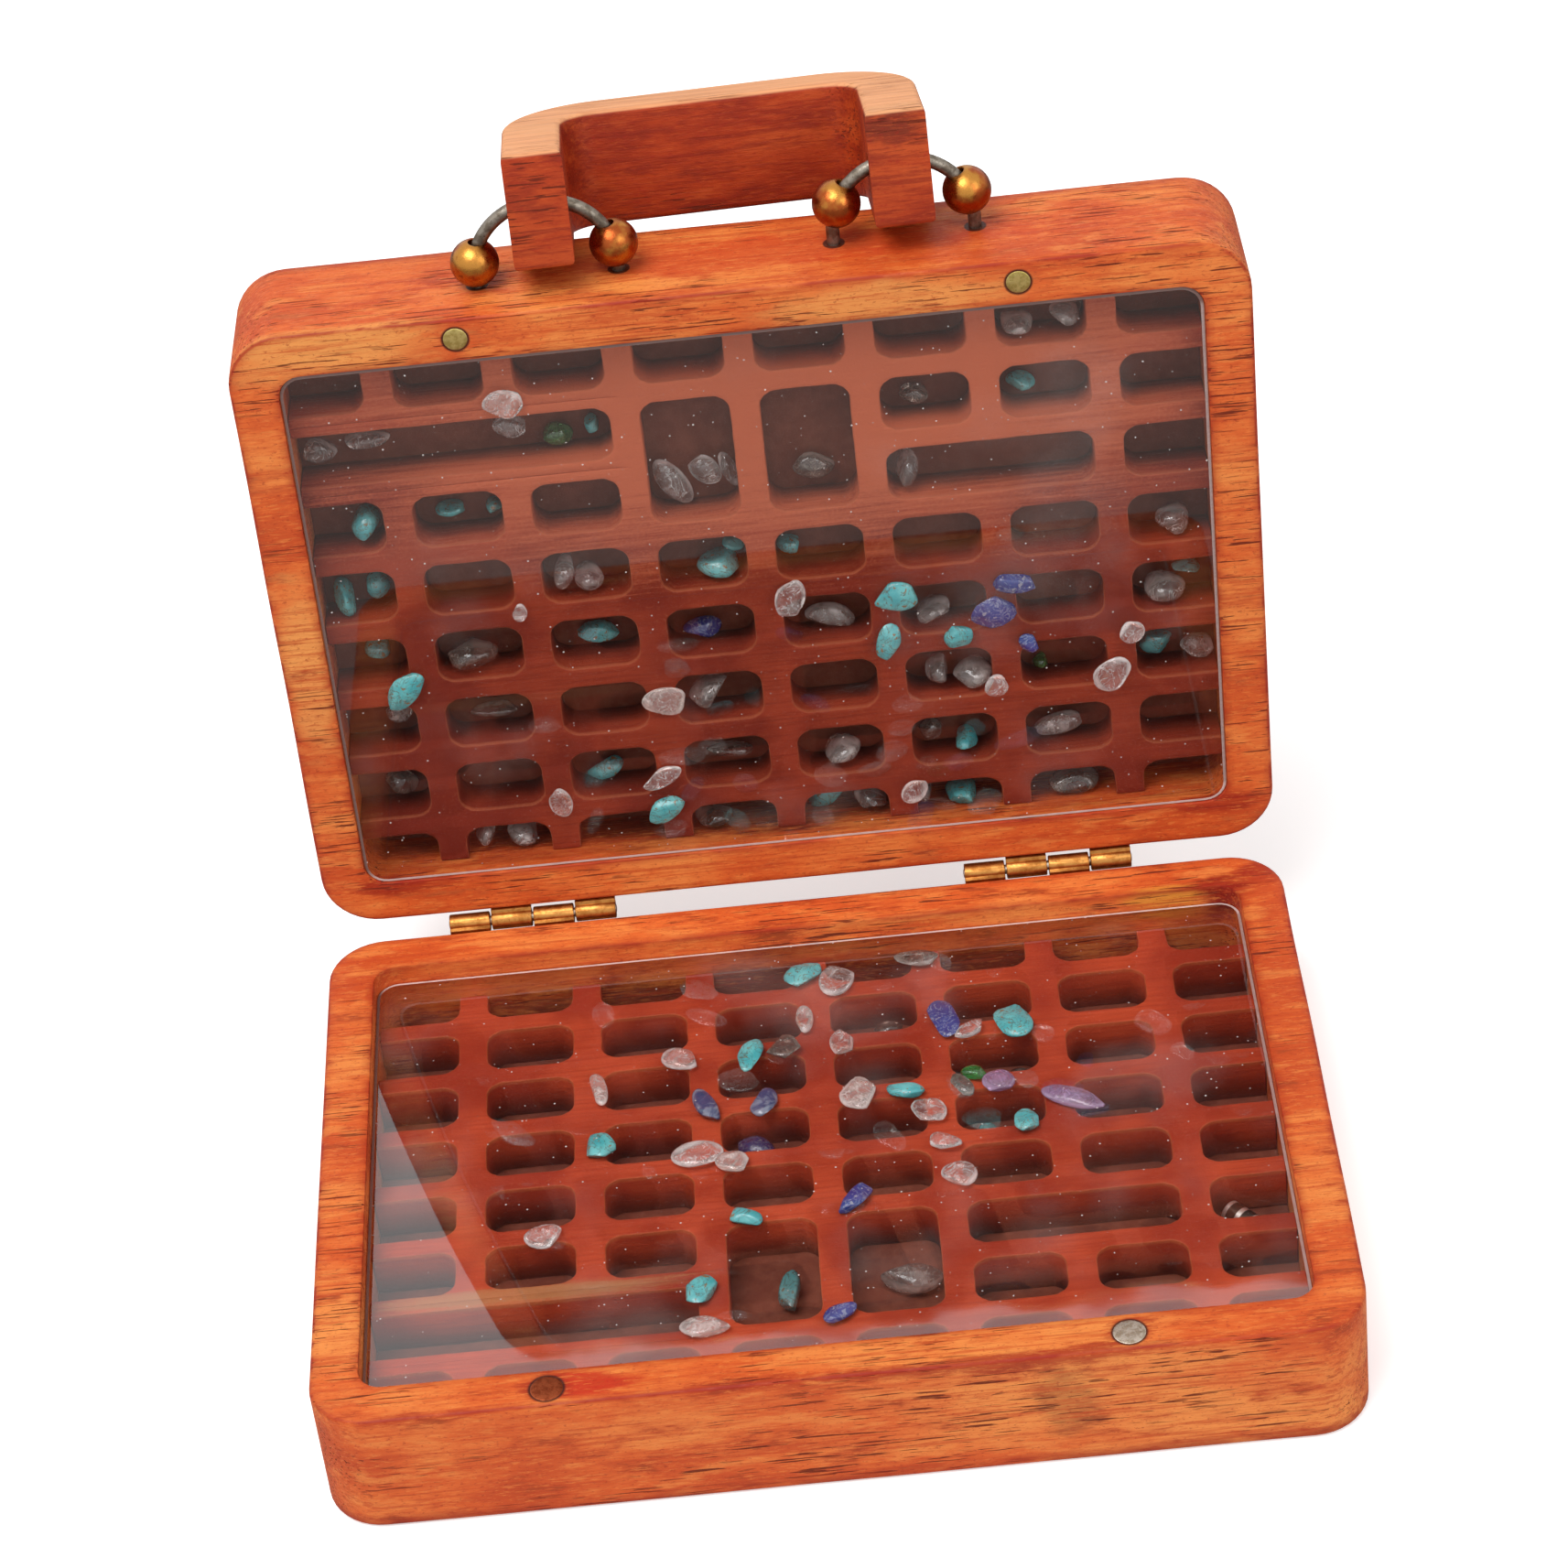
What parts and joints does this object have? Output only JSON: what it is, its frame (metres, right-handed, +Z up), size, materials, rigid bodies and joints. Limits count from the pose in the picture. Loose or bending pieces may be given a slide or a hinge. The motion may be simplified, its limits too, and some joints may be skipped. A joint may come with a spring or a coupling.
{
  "type": "mineral specimen box",
  "caption": "Hinged wooden box of two equal trays, each with a clear window over pockets of loose stone chips, a magnetic catch and a swinging wooden carrying handle.",
  "frame": {"origin": "middle of the lower tray's underside", "axes": "+Z up, +X along the hinge to the right seen from the front, +Y from the front edge to the hinge side"},
  "size_m": [0.148, 0.1519, 0.1486],
  "materials": {
    "wood": "satin",
    "board": "matte",
    "backing": "matte",
    "window": "gloss",
    "magnet": "satin",
    "disc": "satin",
    "screw": "satin",
    "hinge": "satin",
    "pin": "satin",
    "handle_wood": "satin",
    "wire": "satin",
    "bead": "polished",
    "turquoise": "polished",
    "lapis": "polished",
    "clear_quartz": "gloss",
    "milky_quartz": "polished",
    "smoky_quartz": "polished",
    "green_glass": "gloss",
    "amethyst": "polished",
    "banded_bead": "polished"
  },
  "bodies": {
    "base": {"lower_tray": "wood", "lower_backing_sheet": "backing", "lower_pocket_board": "board", "lower_window": "window", "catch_magnet_left": "magnet", "catch_magnet_right": "magnet", "lower_hinge_screws": "screw", "hinge_left_lower_leaf": "hinge", "hinge_left_pin": "pin", "hinge_right_lower_leaf": "hinge", "hinge_right_pin": "pin", "lower_turquoise": "turquoise", "lower_lapis": "lapis", "lower_clear_quartz": "clear_quartz", "lower_milky_quartz": "milky_quartz", "lower_smoky_quartz": "smoky_quartz", "lower_green_glass": "green_glass", "lower_amethyst": "amethyst", "lower_banded_bead": "banded_bead"},
    "lid": {"lid_tray": "wood", "lid_backing_sheet": "backing", "lid_pocket_board": "board", "lid_window": "window", "catch_disc_left": "disc", "catch_disc_right": "disc", "lid_hinge_screws": "screw", "hinge_left_lid_leaf": "hinge", "hinge_right_lid_leaf": "hinge", "handle_wire_left": "wire", "handle_wire_right": "wire", "bead_left_outer": "bead", "bead_left_inner": "bead", "bead_right_inner": "bead", "bead_right_outer": "bead", "lid_turquoise": "turquoise", "lid_lapis": "lapis", "lid_clear_quartz": "clear_quartz", "lid_milky_quartz": "milky_quartz", "lid_smoky_quartz": "smoky_quartz", "lid_green_glass": "green_glass"},
    "handle": {"handle": "handle_wood"}
  },
  "joints": [
    {"name": "lid_hinge", "type": "hinge", "parent": "base", "child": "lid", "pos_m": [0, 0.0544, 0.0211], "axis": [-1, 0, 0], "range_deg": [-92.57, 87.43]},
    {"name": "handle_swing", "type": "hinge", "parent": "lid", "child": "handle", "pos_m": [-0.0008, 0.07031, 0.13922], "axis": [0.9994, 0.0349, -0.0016], "range_deg": [0, 200]}
  ]
}
